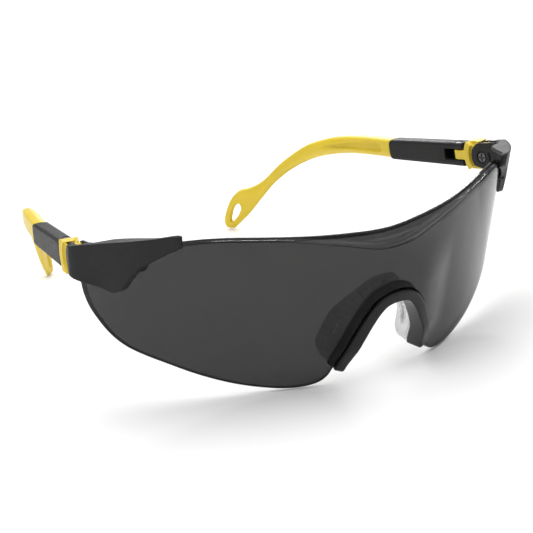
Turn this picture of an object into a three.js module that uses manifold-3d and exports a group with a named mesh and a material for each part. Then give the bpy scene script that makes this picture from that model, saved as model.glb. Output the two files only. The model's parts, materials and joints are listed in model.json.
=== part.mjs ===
// Wrap-around safety spectacles with adjustable tilt and adjustable temple length.
//
// Glasses frame, millimetres: +X across the width, +Y from the lens towards the ears, +Z up, with the
// origin on the symmetry plane at the front of the lens, level with the middle of its brow.
// The right-hand pieces are modelled on +X and mirrored for the left. Each temple has its own frame:
// origin on the tilt pivot, x outboard, y back along the temple, z up.
// The whole group is then pitched so that the lens lobes and the two temple loops stand on z = 0.

import * as THREE from 'three';
import { mergeVertices } from 'three/addons/utils/BufferGeometryUtils.js';
import Module from 'manifold-3d';

const wasm = await Module();
wasm.setup();

// ---------------------------------------------------------------- driving dimensions

const GAP = 0.3;                 // running gap between pieces

const REST_PITCH = 8.56;         // degrees, glasses frame to table frame

const LENS = {
  rearX: 72.1,                   // half width at the rear edge of the lens
  rearY: 50.6,                   // depth of the wrap
  frontHandle: 26,               // length of the flat front, as a curve handle
  rearHandle: 21.8,              // length of the straight side, as a curve handle
  rearAngle: 12.2,               // degrees between the lens side and +Y
  lean: 0.1,                     // inward lean per mm of drop
  bulge: 3,                      // how far the lens stands forward round the top of the nose opening
  thickness: 2.2,
};

// Heights along the lens, as pairs of distance from the middle (along the curve) and z.
const CREASE = [[0, 2], [5, 2.3], [10, 3.5], [16, 5], [24, 6.5], [32, 7.4], [41, 7.5], [50, 7.1],
  [60, 5.5], [70, 2.8], [78, -0.2], [82, -2.3]];
const NOSE_EDGE = [[0, -10.5], [3, -10.9], [5.6, -12.1], [7.9, -14.5], [10.1, -18], [12.5, -22.8],
  [14.5, -27.3], [16.3, -31.6], [17.6, -35], [19.2, -37.4], [22, -39.1]];
const LOBE_EDGE = [[26.8, -40.1], [32.5, -40.2], [38.7, -39.6], [45.3, -38.6], [52, -37.1], [58.5, -35.3],
  [65.2, -33.2], [72.6, -31.1], [76.9, -29.7], [80.7, -27.8], [84.2, -25.2], [87.2, -22.2],
  [89.8, -19.2], [91.4, -15.8], [92, -12.2]];

const LEDGE = {
  reach: 55,                     // half length along the curve
  depth: 2.7,
  middleDepth: 4.8,
  middleRise: 2,                 // how far the rear rim stands above the crease in the middle
  middleReach: 22,
  thickness: 1.6,
};

const PIVOT = { x: 71.9, y: 51.2, z: -4.6 };   // tilt pivot
const TOE_IN = 10.3;             // degrees
const DROOP = 13.8;              // degrees, temple below the glasses frame's Y axis
const LUG = { radius: 5.7, top: 5.1, bottom: 4.4 };   // round rear end, flat above and below
const LUG_ARC = { from: -Math.asin(LUG.bottom / LUG.radius), to: Math.asin(LUG.top / LUG.radius) };
const HUB = { outer: -0.3, thickness: 1.7, radius: 4.2, tooth: 0.4 };
const EAR = { outer: HUB.outer - HUB.thickness - GAP, thickness: 1.1 };   // inboard wall of the lug
const SCREW = { shank: 1.0, head: 2.1, headEnd: -2.8, nut: 1.9, nutEnd: 1.4 };
const TEMPLE_WIDTH = 5;
const OUTER_FACE = TEMPLE_WIDTH / 2;

const COLLAR = { inner: 6.0, outer: 8.2, halfHeight: 4.6, inboard: -2.9 };
const SLEEVE = { start: 8.6, length: 34, frontHeight: 7.8, rearHeight: 6.7, corner: 1.0 };
const HINGE = { x: -0.7, y: 11.7, pinRadius: 0.75, knuckleRadius: 1.75, height: 3.0 };
const SLIDER = { thickness: 2.0, height: 4.0, start: 20.4, travel: 12 };
const DETENT = { y: 34.5, length: 7.2, leaf: 0.25, width: 2, bow: 0.35, notchRadius: 0.6, notches: 4 };
const LOOP_HOLE = { y: 116.9, z: -23.3, length: 9.2, width: 3.6, angle: -56 };
const TIP = { thickness: 4.4, loopThickness: 2.6, bendStart: 40, bendRadius: 195 };

// ---------------------------------------------------------------- materials

const finish = (color, roughness, metalness = 0, extra = {}) =>
  new THREE.MeshStandardMaterial({ color, roughness, metalness, ...extra });

const SMOKE = finish('#3b3b3d', 0.06, 0, { transparent: true, opacity: 0.75 });
const BLACK = finish('#2b2b2c', 0.5);
const YELLOW = finish('#e2c63c', 0.4);
const CLEAR_RUBBER = finish('#b9bab8', 0.55, 0, { transparent: true, opacity: 0.85 });
const STEEL = finish('#9a9b9e', 0.3, 0.9);
const BRASS = finish('#b0914d', 0.35, 0.9);

// ---------------------------------------------------------------- general helpers

const radians = THREE.MathUtils.degToRad;
const smooth = (x, from, to) => THREE.MathUtils.smoothstep(x, from, to);

/** Closed geometry to solid. */
function solid(geometry) {
  const bare = geometry.clone();
  bare.deleteAttribute('normal');
  bare.deleteAttribute('uv');
  const merged = mergeVertices(bare, 1e-4);
  return new wasm.Manifold(new wasm.Mesh({
    numProp: 3,
    vertProperties: new Float32Array(merged.attributes.position.array),
    triVerts: new Uint32Array(merged.index.array),
  }));
}

/** Solid to geometry. */
function geometryOf(body) {
  const mesh = body.getMesh();
  const geometry = new THREE.BufferGeometry();
  geometry.setAttribute('position', new THREE.BufferAttribute(new Float32Array(mesh.vertProperties), 3));
  geometry.setIndex(new THREE.BufferAttribute(new Uint32Array(mesh.triVerts), 1));
  geometry.computeVertexNormals();
  return geometry;
}

const join = (...parts) => parts.map(solid).reduce((a, b) => a.add(b));
const cut = (body, ...tools) => tools.map(solid).reduce((a, b) => a.subtract(b), body);

/** Moves every vertex of a geometry by a function of x, y and z. */
function shaped(geometry, place) {
  const position = geometry.attributes.position;
  for (let i = 0; i < position.count; i++) {
    position.setXYZ(i, ...place(position.getX(i), position.getY(i), position.getZ(i)));
  }
  return geometry;
}

/** The same piece on the other side of the symmetry plane, faces still pointing out. */
function mirrored(geometry) {
  const copy = shaped(geometry.clone(), (x, y, z) => [-x, y, z]);
  const index = copy.index.array;
  for (let i = 0; i < index.length; i += 3) {
    [index[i], index[i + 1]] = [index[i + 1], index[i]];
  }
  copy.computeVertexNormals();
  return copy;
}

const box = (x0, x1, y0, y1, z0, z1) => new THREE.BoxGeometry(x1 - x0, y1 - y0, z1 - z0)
  .translate((x0 + x1) / 2, (y0 + y1) / 2, (z0 + z1) / 2);

/** Cylinder along x from x0 to x1. */
const rodX = (radius, x0, x1, y, z, sides = 20) =>
  new THREE.CylinderGeometry(radius, radius, x1 - x0, sides)
    .rotateZ(Math.PI / 2).translate((x0 + x1) / 2, y, z);

/** Cylinder along z from z0 to z1. */
const rodZ = (radius, x, y, z0, z1, sides = 20) =>
  new THREE.CylinderGeometry(radius, radius, z1 - z0, sides)
    .rotateX(Math.PI / 2).translate(x, y, (z0 + z1) / 2);

/** Outline in the y-z plane, extruded along x from x0 to x1. */
function plateX(outline, x0, x1, curveSegments = 12) {
  const geometry = new THREE.ExtrudeGeometry(outline,
    { depth: x1 - x0, bevelEnabled: false, curveSegments });
  return shaped(geometry, (a, b, c) => [x0 + c, a, b]);
}

const spline = (points) => points.map(([a, b]) => new THREE.Vector2(a, b));

/** Smooth height as a function of distance, through a few pairs. */
function heightCurve(pairs) {
  const interpolant = new THREE.CubicInterpolant(pairs.map((p) => p[0]), pairs.map((p) => p[1]), 1);
  return (distance) => interpolant.evaluate(distance)[0];
}

// ---------------------------------------------------------------- lens surface

const rearAngle = radians(LENS.rearAngle);
const lensPlan = new THREE.CubicBezierCurve(
  new THREE.Vector2(0, 0),
  new THREE.Vector2(LENS.frontHandle, 0),
  new THREE.Vector2(LENS.rearX - LENS.rearHandle * Math.sin(rearAngle),
    LENS.rearY - LENS.rearHandle * Math.cos(rearAngle)),
  new THREE.Vector2(LENS.rearX, LENS.rearY),
);
lensPlan.arcLengthDivisions = 400;
const planLength = lensPlan.getLength();

/** Point and outward normal of the lens plan at a distance along it from the middle, either way. */
function planAt(distance) {
  const side = distance < 0 ? -1 : 1;
  const u = Math.min(Math.abs(distance) / planLength, 1);
  const point = lensPlan.getPointAt(u);
  const tangent = lensPlan.getTangentAt(u);
  return { x: side * point.x, y: point.y, nx: side * tangent.y, ny: -tangent.x };
}

/** Point at a distance along the lens, a height and a depth behind its front surface. */
function onLens(distance, z, depth) {
  const { x, y, nx, ny } = planAt(distance);
  const beside = 1 - smooth(Math.abs(distance), 8, 27);
  const bulge = LENS.bulge * beside * smooth(-z, -2, 12) * (1 - smooth(-z, 26, 37));
  const out = LENS.lean * z + bulge - depth;
  return [x + nx * out, y + ny * out, z];
}

const creaseHeight = heightCurve(CREASE);
const bottomHeight = heightCurve([...NOSE_EDGE, ...LOBE_EDGE]);
const REAR_TAB = { start: 80.5, end: 82.5, top: -11.2 };   // the lens drops below the tilt pivot here

function lensTop(distance) {
  const crease = creaseHeight(Math.min(distance, 82));
  return crease + (REAR_TAB.top - crease) * smooth(distance, REAR_TAB.start, REAR_TAB.end);
}

// ---------------------------------------------------------------- front pieces

/** Curved shield, from its lower edge up to the brow crease. */
function shieldGeometry() {
  const end = LOBE_EDGE[LOBE_EDGE.length - 1][0];
  const geometry = new THREE.BoxGeometry(2, 1, 1, 72, 1, 4);
  return shaped(geometry, (u, back, v) => {
    const even = 0.55 * u + 0.45 * u ** 3;              // columns closer together round the nose
    const distance = end * even;
    const span = Math.abs(distance);
    const low = bottomHeight(span);
    const z = low + (lensTop(span) - low) * (v + 0.5);
    return onLens(distance, z, (back + 0.5) * LENS.thickness);
  });
}

/** Brow ledge behind the crease, deeper and raised at its rear rim in the middle. */
function ledgeGeometry() {
  const geometry = new THREE.BoxGeometry(2, 1, 1, 48, 2, 1);
  return shaped(geometry, (u, back, up) => {
    const distance = LEDGE.reach * u;
    const span = Math.abs(distance);
    const middle = 1 - smooth(span, LEDGE.middleReach * 0.35, LEDGE.middleReach);
    const depth = LEDGE.depth + (LEDGE.middleDepth - LEDGE.depth) * middle;
    const along = back + 0.5;
    const rise = LEDGE.middleRise * middle * smooth(along, -0.2, 1);
    const z = creaseHeight(span) + rise - (0.5 - up) * LEDGE.thickness;
    return onLens(distance, z, 0.1 + along * depth);
  });
}

const LENS_PIN = { distance: 72, z: -3.2, radius: 1.0, headRadius: 1.9 };

/** Rod along the lens normal at the retaining pin, between two depths behind the front surface. */
function rodThroughLens(radius, depthFrom, depthTo) {
  const { nx, ny } = planAt(LENS_PIN.distance);
  const a = new THREE.Vector3(...onLens(LENS_PIN.distance, LENS_PIN.z, depthFrom));
  const geometry = new THREE.CylinderGeometry(radius, radius, depthTo - depthFrom, 16);
  const inward = new THREE.Vector3(-nx, -ny, 0);
  geometry.translate(0, (depthTo - depthFrom) / 2, 0);
  geometry.applyQuaternion(new THREE.Quaternion().setFromUnitVectors(new THREE.Vector3(0, 1, 0), inward));
  return geometry.translate(a.x, a.y, a.z);
}

function lensGeometry() {
  const hole = rodThroughLens(LENS_PIN.radius + GAP, -2, 5);
  return geometryOf(cut(join(shieldGeometry(), ledgeGeometry()), hole, mirrored(hole)));
}

/** Retaining pin: shank through the lens into the lug, head inside. */
function lensPinGeometry() {
  const depth = LENS.thickness + GAP;
  return geometryOf(join(
    rodThroughLens(LENS_PIN.radius, -1.5, depth + 0.4),
    rodThroughLens(LENS_PIN.headRadius, depth, depth + 1.0),
  ));
}

// Nose opening, as half outlines from the top middle down to the foot.
const BRIDGE = {
  lip: 3.5,                      // width of the visible band
  flange: 1.2,                   // how far the flange laps over the lens behind it
  flangeBack: 3.7,               // depth of the rear face of the flange
  front: -0.9,                   // depth of the front face, proud of the lens
  back: 4.6,                     // depth of the rear face of the band
  foot: -35.6,
};

/** Points of the nose edge moved outwards by an amount, from the left foot over to the right foot. */
function noseArch(outwards) {
  const half = NOSE_EDGE.filter(([, z]) => z > BRIDGE.foot);
  const otherHalf = half.slice(1).reverse().map(([x, z]) => [-x, z]);
  const curve = new THREE.SplineCurve(spline([...otherHalf, ...half]));
  return curve.getPoints(40).map((point, i) => {
    const tangent = curve.getTangent(i / 40);
    return [point.x - tangent.y * outwards, point.y + tangent.x * outwards];
  });
}

/** Arch-shaped band between two outlines, extruded from 0 at its rear to 1 at its front. */
function archExtrusion(outer, inner) {
  const outline = new THREE.Shape(spline([...noseArch(outer), ...noseArch(inner).reverse()]));
  return new THREE.ExtrudeGeometry(outline, { depth: 1, bevelEnabled: false, curveSegments: 1 });
}

/** The same band wrapped onto the lens, between two depths behind its front surface. */
const archBand = (outer, inner, front, back) => shaped(archExtrusion(outer, inner),
  (x, z, forward) => onLens(x, z, back + (front - back) * forward));

/** Rigid arch clipped on the nose opening: band, and flange behind the lens. */
const noseBridgeGeometry = () => geometryOf(join(
  archBand(-GAP, -BRIDGE.lip, BRIDGE.front, BRIDGE.back),
  archBand(BRIDGE.flange, -1, LENS.thickness + 2 * GAP, BRIDGE.flangeBack),
));

const PAD = {
  outer: -0.6,
  inner: -2.4,
  middleDepth: 2.5,              // depth over the top of the nose
  wingDepth: 8.2,
  flare: 1.8,                    // how far the wings open outwards towards the face
  rise: 2.6,                     // how far the middle rises towards the face
};

/** Soft saddle behind the bridge: shallow over the nose, deeper and flared on the wings. */
function nosePadGeometry() {
  const geometry = shaped(archExtrusion(PAD.outer, PAD.inner), (x, z, forward) => {
    const back = 1 - forward;
    const wing = smooth(-z, 11, 24);
    const [startX, startY] = onLens(x, z, BRIDGE.back + 3 * GAP);
    const depth = PAD.middleDepth + (PAD.wingDepth - PAD.middleDepth) * wing;
    const flare = PAD.flare * wing * (1 - smooth(-z, 30, 38));
    return [startX + Math.sign(x) * flare * back, startY + depth * back, z + PAD.rise * (1 - wing) * back];
  });
  return geometryOf(solid(geometry));
}

// ---------------------------------------------------------------- temple frame

const templeMatrix = new THREE.Matrix4()
  .makeTranslation(PIVOT.x, PIVOT.y, PIVOT.z)
  .multiply(new THREE.Matrix4().makeRotationZ(radians(TOE_IN)))
  .multiply(new THREE.Matrix4().makeRotationX(-radians(DROOP)));

const inFront = (geometry) => geometry.applyMatrix4(templeMatrix);

// ---------------------------------------------------------------- lug

/** Point in plan given in the temple's own x and y. */
function onTemple(x, y) {
  const toe = radians(TOE_IN);
  return [PIVOT.x + x * Math.cos(toe) - y * Math.sin(toe), PIVOT.y + x * Math.sin(toe) + y * Math.cos(toe)];
}

/** Points in plan at some distances along the lens, an offset outside it. */
const besideLens = (offset, distances) => distances.map((distance) => {
  const { x, y, nx, ny } = planAt(distance);
  return [x + nx * offset, y + ny * offset];
});

/** Prism between two plan edges, leaning with the lens in front and upright at the pivot. */
function lugPrism(outerEdge, innerEdge) {
  const half = 14;
  const outline = new THREE.Shape([...outerEdge, ...innerEdge.reverse()]);
  const geometry = new THREE.ExtrudeGeometry(outline, { depth: 2 * half, bevelEnabled: false });
  return shaped(geometry, (x, y, up) => {
    const z = up - half;
    const lean = LENS.lean * z * (1 - smooth(y, 40, 46));
    return [x + 0.8 * lean, y - 0.6 * lean, z];
  });
}

const ARM_START = 59.5;           // distance along the lens where the lug's arm begins
const ARM_DISTANCES = [ARM_START, 63, 67, 71, 75, 79];

const lugOuterFace = () => new THREE.SplineCurve(spline([...besideLens(2.1, ARM_DISTANCES), [72.6, 43.6],
  onTemple(OUTER_FACE, -4), onTemple(OUTER_FACE, -1), onTemple(OUTER_FACE, 2), onTemple(OUTER_FACE, 7)]))
  .getPoints(22);

/** Side outline of the lug in y and z: arm on top, lobe below, round at the pivot. */
function lugOutline() {
  const outline = new THREE.Shape();
  outline.moveTo(PIVOT.y - 2, PIVOT.z + LUG.top + 0.2);
  outline.splineThru(spline([[44.5, 2.4], [38, 4.4], [30, 6.9], [18, 10.9]]));
  outline.lineTo(18, 8);
  outline.splineThru(spline([[21.8, 6.4], [26.6, 2.2], [30.9, -1.8], [34, -6.3], [36, -9.7], [38.2, -11],
    [40.5, -10.6], [44, -8.9], [PIVOT.y - 1, PIVOT.z - LUG.bottom]]));
  outline.absarc(PIVOT.y, PIVOT.z, LUG.radius, LUG_ARC.from, LUG_ARC.to, false);
  return outline;
}

/** Side outline of the roof over the lens edge. */
function roofOutline() {
  const rear = 45;
  const outline = new THREE.Shape();
  outline.moveTo(rear, 2.2);
  outline.splineThru(spline([[38, 4.5], [30, 6.9], [18, 10.8]]));
  outline.lineTo(18, 9.4);
  outline.splineThru(spline([[30, 5.6], [38, 3.2], [rear, 0.8]]));
  return outline;
}

/** Inboard wall beside the hub, in the temple frame. */
function earGeometry() {
  const outline = new THREE.Shape();
  outline.moveTo(-6.2, LUG.top);
  outline.lineTo(-6.2, -3.4);
  outline.absarc(0, 0, LUG.radius, LUG_ARC.from, LUG_ARC.to, false);
  return inFront(plateX(outline, EAR.outer - EAR.thickness, EAR.outer));
}

/** Outer wall with its arm and lobe, roof over the lens edge, block before the hub, and inboard wall. */
function lugGeometry() {
  const innerFace = EAR.outer - EAR.thickness;
  const blockRear = -HUB.radius - HUB.tooth - GAP;
  const wallEdge = spline([
    ...besideLens(GAP + 0.05, [...ARM_DISTANCES, 80, 83]),
    onTemple(innerFace, blockRear - 1.4),
    onTemple(innerFace, blockRear),
    onTemple(HUB.outer + GAP, blockRear),
    onTemple(HUB.outer + GAP, 7),
  ]);
  const wall = solid(lugPrism(lugOuterFace(), wallEdge))
    .intersect(solid(plateX(lugOutline(), 0, 90)));
  const roofInner = spline([
    ...besideLens(-3.4, [...ARM_DISTANCES, 80]),
    onTemple(innerFace - 0.4, blockRear - 2),
    onTemple(innerFace - 0.4, blockRear),
  ]);
  const roofOuter = spline([...besideLens(2.0, ARM_DISTANCES), [70.2, 41.3], [72.6, 45.6]]);
  const roof = solid(lugPrism(roofOuter, roofInner))
    .intersect(solid(plateX(roofOutline(), 0, 90)));
  const body = wall.add(roof).add(solid(earGeometry()));
  return geometryOf(cut(body,
    inFront(rodX(SCREW.shank + GAP, innerFace - 1, HUB.outer + 0.5, 0, 0)),
    inFront(rodX(SCREW.head + GAP, innerFace - 1, SCREW.headEnd + GAP, 0, 0)),
    inFront(rodX(SCREW.nut + GAP, HUB.outer, SCREW.nutEnd + GAP, 0, 0)),
    rodThroughLens(LENS_PIN.radius + GAP, -1.8, 1)));
}

/** Tilt screw: slotted head sunk in the inboard wall, shank through the hub into the insert. */
function tiltScrewGeometry() {
  const innerFace = EAR.outer - EAR.thickness;
  const headStart = innerFace - 0.2;
  const slot = box(headStart - 1, headStart + 0.3, -SCREW.head - 1, SCREW.head + 1, -0.3, 0.3);
  return geometryOf(cut(join(rodX(SCREW.head, headStart, SCREW.headEnd, 0, 0),
    rodX(SCREW.shank, SCREW.headEnd - 0.3, SCREW.nutEnd - 0.2, 0, 0)), slot));
}

/** Threaded insert in the outer wall. */
function tiltNutGeometry() {
  const start = HUB.outer + GAP + 0.1;
  return geometryOf(cut(join(rodX(SCREW.nut, start, SCREW.nutEnd, 0, 0)),
    rodX(SCREW.shank + GAP, start - 1, SCREW.nutEnd + 1, 0, 0)));
}

// ---------------------------------------------------------------- tilt link

/** Disc with ratchet teeth on its upper front rim. */
function hubGeometry() {
  const teeth = 5;
  const outline = new THREE.Shape();
  const from = radians(100);
  const to = radians(170);
  const rim = (radius, angle) => [radius * Math.cos(angle), radius * Math.sin(angle)];
  outline.moveTo(...rim(HUB.radius, from));
  for (let i = 0; i < teeth; i++) {
    outline.lineTo(...rim(HUB.radius + HUB.tooth, from + ((to - from) * (i + 0.5)) / teeth));
    outline.lineTo(...rim(HUB.radius, from + ((to - from) * (i + 1)) / teeth));
  }
  outline.absarc(0, 0, HUB.radius, to, from + 1.97 * Math.PI, false);
  return plateX(outline, HUB.outer - HUB.thickness, HUB.outer, 20);
}

/** Crescent band between the lug and the sleeve. */
function collarGeometry() {
  const halfAngle = Math.asin(COLLAR.halfHeight / COLLAR.outer);
  const outline = new THREE.Shape();
  outline.absarc(0, 0, COLLAR.outer, -halfAngle, halfAngle, false);
  outline.absarc(0, 0, COLLAR.inner, halfAngle, -halfAngle, true);
  return plateX(outline, COLLAR.inboard, OUTER_FACE);
}

/** Tilt link: toothed hub, web, collar and the tongue that carries the fold hinge. */
function linkGeometry() {
  const web = box(HUB.outer - HUB.thickness, HUB.outer, 2.5, COLLAR.inner + 0.6, -3.2, 3.2);
  const tongueHalf = HINGE.height / 2;
  const tongue = box(HINGE.x - HINGE.knuckleRadius, HINGE.x + HINGE.knuckleRadius, COLLAR.inner + 0.8,
    HINGE.y, -tongueHalf, tongueHalf);
  const knuckle = rodZ(HINGE.knuckleRadius, HINGE.x, HINGE.y, -tongueHalf, tongueHalf);
  return geometryOf(cut(join(hubGeometry(), collarGeometry(), web, tongue, knuckle),
    rodX(SCREW.shank + GAP, HUB.outer - HUB.thickness - 1, HUB.outer + 1, 0, 0),
    rodZ(HINGE.pinRadius + 0.2, HINGE.x, HINGE.y, -3, 3, 16)));
}

const hingePinGeometry = () => geometryOf(join(
  rodZ(HINGE.pinRadius, HINGE.x, HINGE.y, -3.2, 3.4, 16),
  rodZ(HINGE.pinRadius + 0.35, HINGE.x, HINGE.y, 3.2, 3.7, 16),
));

// ---------------------------------------------------------------- sleeve

/** Tapered, round-cornered case along y. */
function sleeveBody() {
  const halfWidth = TEMPLE_WIDTH / 2;
  const halfHeight = SLEEVE.frontHeight / 2;
  const r = SLEEVE.corner;
  const section = new THREE.Shape();
  section.moveTo(-halfWidth + r, -halfHeight);
  section.lineTo(halfWidth - r, -halfHeight);
  section.absarc(halfWidth - r, -halfHeight + r, r, -Math.PI / 2, 0, false);
  section.lineTo(halfWidth, halfHeight - r);
  section.absarc(halfWidth - r, halfHeight - r, r, 0, Math.PI / 2, false);
  section.lineTo(-halfWidth + r, halfHeight);
  section.absarc(-halfWidth + r, halfHeight - r, r, Math.PI / 2, Math.PI, false);
  section.lineTo(-halfWidth, -halfHeight + r);
  section.absarc(-halfWidth + r, -halfHeight + r, r, Math.PI, Math.PI * 1.5, false);
  const geometry = new THREE.ExtrudeGeometry(section,
    { depth: SLEEVE.length, bevelEnabled: false, curveSegments: 3, steps: 2 });
  const taper = SLEEVE.rearHeight / SLEEVE.frontHeight;
  return shaped(geometry, (x, z, along) => {
    const scale = 1 + (taper - 1) * (along / SLEEVE.length);
    return [-x, SLEEVE.start + along, z * scale];
  });
}

function sleeveGeometry() {
  const end = SLEEVE.start + SLEEVE.length;
  const slotHalf = HINGE.height / 2 + GAP;
  const slotOuter = HINGE.x + HINGE.knuckleRadius + GAP;
  const slot = box(-5, slotOuter, SLEEVE.start - 1, HINGE.y + 5.2, -slotHalf, slotHalf);
  const bore = rodZ(HINGE.pinRadius + 0.15, HINGE.x, HINGE.y, -3.4, 6, 16);
  const headSeat = rodZ(HINGE.pinRadius + 0.6, HINGE.x, HINGE.y, 3.0, 6, 16);
  const cavityX = SLIDER.thickness / 2 + GAP;
  const cavityZ = SLIDER.height / 2 + GAP;
  const cavity = box(-cavityX, cavityX, SLIDER.start - 1.4, end + 1, -cavityZ, cavityZ);
  const springSeat = box(-cavityX - 0.7, -cavityX + 0.1, DETENT.y - 4, DETENT.y + 4, -1.3, 1.3);
  const frontHollow = rodX(COLLAR.outer + 0.35, HINGE.x + 0.5, 6, 0, 0, 48);
  const knuckleRelief = box(-6, HINGE.x, SLEEVE.start - 1, SLEEVE.start + 0.5, -6, 6);
  return geometryOf(cut(solid(sleeveBody()),
    slot, bore, headSeat, cavity, springSeat, frontHollow, knuckleRelief));
}

/** Bowed leaf that clicks into the slider's notches. */
function detentSpringGeometry() {
  const cavityX = SLIDER.thickness / 2 + GAP;
  const geometry = new THREE.BoxGeometry(DETENT.leaf, DETENT.length, DETENT.width, 1, 12, 1);
  return shaped(geometry, (x, y, z) => {
    const bow = DETENT.bow * Math.cos((Math.PI * y) / DETENT.length);
    return [-cavityX - 0.45 + x + bow, DETENT.y + y, z];
  });
}

// ---------------------------------------------------------------- temple tip

/** Side outline of the tip: straight shoulder, arch, thin neck and teardrop loop. */
function tipOutline() {
  const start = SLEEVE.start + SLEEVE.length + GAP;
  const half = SLEEVE.rearHeight / 2;
  const outline = new THREE.Shape();
  outline.moveTo(start, -half);
  outline.lineTo(start, half);
  outline.splineThru(spline([[55, 3.9], [64, 3.7], [72, 2.8], [82.5, 0.2], [94, -5.7], [103.5, -12.4],
    [109.5, -14.9], [114.2, -15.8], [118.4, -19.2], [121.9, -25.4], [121.8, -29.2], [118.8, -30]]));
  outline.splineThru(spline([[111.3, -24.4], [104.7, -18.4], [98.2, -13], [89.6, -8],
    [78.4, -4.1], [65, -2.5], [52, -2.8]]));
  const hole = new THREE.Path();
  hole.absellipse(LOOP_HOLE.y, LOOP_HOLE.z, LOOP_HOLE.length / 2, LOOP_HOLE.width / 2,
    0, 2 * Math.PI, false, radians(LOOP_HOLE.angle));
  outline.holes.push(hole);
  return outline;
}

/** Inboard bend of the temple behind the sleeve. */
function bent(x, y, z) {
  const past = y - TIP.bendStart;
  if (past <= 0) {
    return [x, y, z];
  }
  const angle = past / TIP.bendRadius;
  const radius = TIP.bendRadius + x;
  return [radius * Math.cos(angle) - TIP.bendRadius, TIP.bendStart + radius * Math.sin(angle), z];
}

function tipGeometry() {
  const blade = plateX(tipOutline(), -0.5, 0.5, 5);
  shaped(blade, (x, y, z) => {
    const thin = smooth(y, 50, 105);
    const thickness = TIP.thickness + (TIP.loopThickness - TIP.thickness) * thin;
    return bent(x * thickness, y, z);
  });
  const start = SLEEVE.start + SLEEVE.length + GAP;
  const slider = box(-SLIDER.thickness / 2, SLIDER.thickness / 2, SLIDER.start, start + 2,
    -SLIDER.height / 2, SLIDER.height / 2);
  const notchX = -SLIDER.thickness / 2 - 0.15;
  const pitch = SLIDER.travel / (DETENT.notches - 1);
  const notches = Array.from({ length: DETENT.notches },
    (_, i) => rodZ(DETENT.notchRadius, notchX, DETENT.y - i * pitch, -4, 4, 12));
  return geometryOf(cut(join(blade, slider), ...notches));
}

// ---------------------------------------------------------------- assembly

function mesh(name, geometry, material) {
  const piece = new THREE.Mesh(geometry, material);
  piece.name = name;
  return piece;
}

/** Adds a right-hand piece and its mirrored twin. */
function pair(parents, name, geometry, material) {
  parents.right.add(mesh(`${name}_right`, geometry, material));
  parents.left.add(mesh(`${name}_left`, mirrored(geometry), material));
}

const front = new THREE.Group();
const frontSides = { right: front, left: front };
const temples = { right: new THREE.Group(), left: new THREE.Group() };
for (const [side, sign] of [['right', 1], ['left', -1]]) {
  const temple = temples[side];
  temple.position.set(sign * PIVOT.x, PIVOT.y, PIVOT.z);
  temple.rotation.set(-radians(DROOP), 0, sign * radians(TOE_IN), 'ZYX');
}

front.add(mesh('lens', lensGeometry(), SMOKE));
front.add(mesh('nose_bridge', noseBridgeGeometry(), BLACK));
front.add(mesh('nose_pad', nosePadGeometry(), CLEAR_RUBBER));
pair(frontSides, 'lug', lugGeometry(), BLACK);
pair(frontSides, 'lens_pin', lensPinGeometry(), BLACK);
pair(temples, 'tilt_screw', tiltScrewGeometry(), STEEL);
pair(temples, 'tilt_nut', tiltNutGeometry(), BRASS);
pair(temples, 'tilt_link', linkGeometry(), YELLOW);
pair(temples, 'hinge_pin', hingePinGeometry(), STEEL);
pair(temples, 'sleeve', sleeveGeometry(), BLACK);
pair(temples, 'detent_spring', detentSpringGeometry(), STEEL);
pair(temples, 'temple_tip', tipGeometry(), YELLOW);

const glasses = new THREE.Group();
glasses.add(front, temples.right, temples.left);
glasses.rotation.x = radians(REST_PITCH);
glasses.updateMatrixWorld(true);
const bounds = new THREE.Box3().setFromObject(glasses, true);
glasses.position.set(0, -(bounds.min.y + bounds.max.y) / 2, -bounds.min.z);

export default glasses;
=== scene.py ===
"""Smoked wrap-around safety glasses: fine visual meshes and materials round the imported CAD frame.

Shapes are worked out in millimetres, either in the glasses frame (origin on the symmetry plane at the brow of
the lens, +Y towards the ears) or in a temple frame (origin on the tilt pivot, x outboard on the right-hand
side, y back along the temple, z up). They are then placed in the row frame, in metres, by two matrices that
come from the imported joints. Left-hand pieces are mirrored copies of the right-hand ones.
"""
import json
import math

import bmesh
import bpy
import numpy as np
from mathutils import Matrix, Vector


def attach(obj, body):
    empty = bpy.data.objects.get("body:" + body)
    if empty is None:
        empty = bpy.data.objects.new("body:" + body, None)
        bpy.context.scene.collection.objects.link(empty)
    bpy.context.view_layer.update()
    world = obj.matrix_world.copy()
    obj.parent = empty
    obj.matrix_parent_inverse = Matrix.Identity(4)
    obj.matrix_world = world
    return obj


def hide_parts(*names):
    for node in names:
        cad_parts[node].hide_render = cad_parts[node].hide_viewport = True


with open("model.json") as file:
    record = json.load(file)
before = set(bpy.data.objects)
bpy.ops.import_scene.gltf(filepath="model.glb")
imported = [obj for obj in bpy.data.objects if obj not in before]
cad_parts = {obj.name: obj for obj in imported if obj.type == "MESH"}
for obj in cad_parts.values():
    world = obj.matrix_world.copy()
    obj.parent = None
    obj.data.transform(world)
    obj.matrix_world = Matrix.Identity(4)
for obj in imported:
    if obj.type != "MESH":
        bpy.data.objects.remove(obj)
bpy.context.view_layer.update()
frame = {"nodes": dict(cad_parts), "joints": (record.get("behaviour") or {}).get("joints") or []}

# ---------------------------------------------------------------- dimensions, mm and degrees

MM = 0.001
REST_PITCH = 8.56
PIVOT = (71.9, 51.2, -4.6)
TOE_IN = math.radians(10.3)

# Plan of the lens, from its middle to its rear edge.
LENS_HALF_WIDTH = 72.1
LENS_WRAP = 50.6
LENS_FRONT_HANDLE = 26
LENS_REAR_HANDLE = 21.8
LENS_REAR_ANGLE = 12.2
LENS_LEAN = 0.1
LENS_THICKNESS = 2.2
LENS_CORNER = 0.5                # radius of its lower corners

# Bulge over the nose, and where it fades along the lens, at its top and at its foot.
LENS_BULGE = 3
BULGE_SPAN = (8, 27)
BULGE_TOP = (-2, 12)
BULGE_FOOT = (26, 37)

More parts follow.
